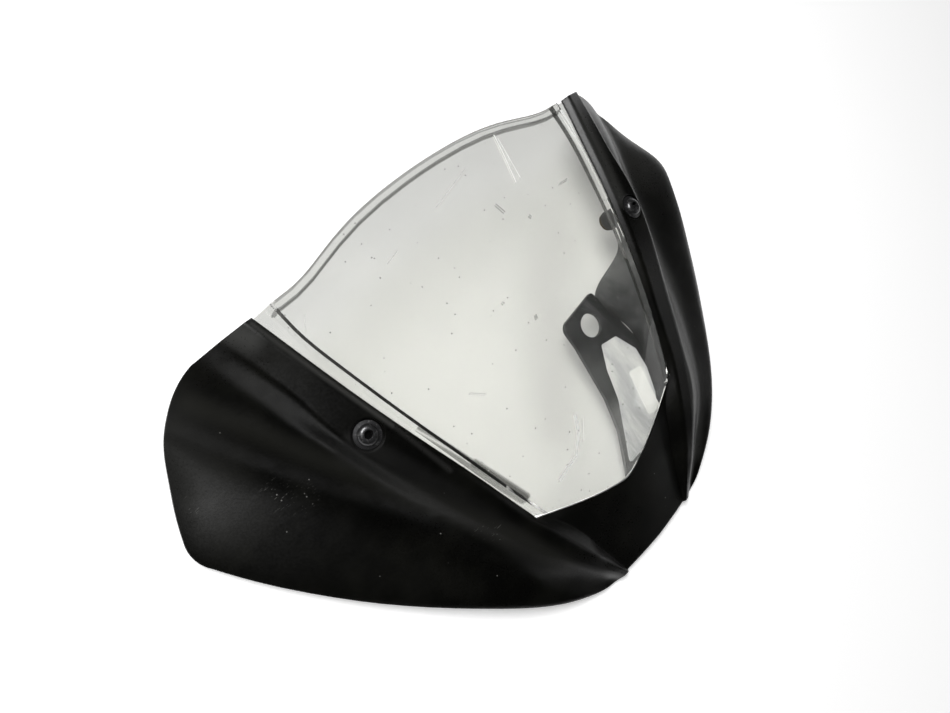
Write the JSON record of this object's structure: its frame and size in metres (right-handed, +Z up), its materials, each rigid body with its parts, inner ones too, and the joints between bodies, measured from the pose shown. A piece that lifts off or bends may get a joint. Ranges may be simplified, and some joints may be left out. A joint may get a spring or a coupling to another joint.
{
  "type": "motorbike flyscreen",
  "caption": "Small motorbike fairing: a crowned clear screen held by button-head screws between the arms of a matt black V-shaped shell, with a mounting lug bracket.",
  "frame": {"origin": "centre of the bounding box, at its underside, on the surface that the part lies on", "axes": "+X to the rider's right, +Y from the nose towards the screen's top edge, +Z up, out of the screen"},
  "size_m": [0.3848, 0.2415, 0.0657],
  "materials": {
    "fairing_black": "matt moulded black with a slight olive cast, dusty and finely scratched",
    "screen_clear": "clear polished polycarbonate with fine scratches",
    "bracket_black": "black moulded plastic, greyed on top",
    "screw_black": "black-finished steel, semi-gloss",
    "foil_silver": "crinkled self-adhesive heat foil",
    "label_grey": "bare pale label film",
    "rubber_black": "black rubber",
    "brass_insert": "plain brass"
  },
  "bodies": {
    "root": {"fairing_shell": "fairing_black", "screen": "screen_clear", "side_bracket": "bracket_black", "backing_strip": "bracket_black", "bracket_screw": "screw_black", "heat_foil": "foil_silver", "label": "label_grey", "screw_left": "screw_black", "screw_right": "screw_black", "well_nut_left": "rubber_black", "well_nut_right": "rubber_black", "nut_insert_left": "brass_insert", "nut_insert_right": "brass_insert"}
  },
  "joints": []
}
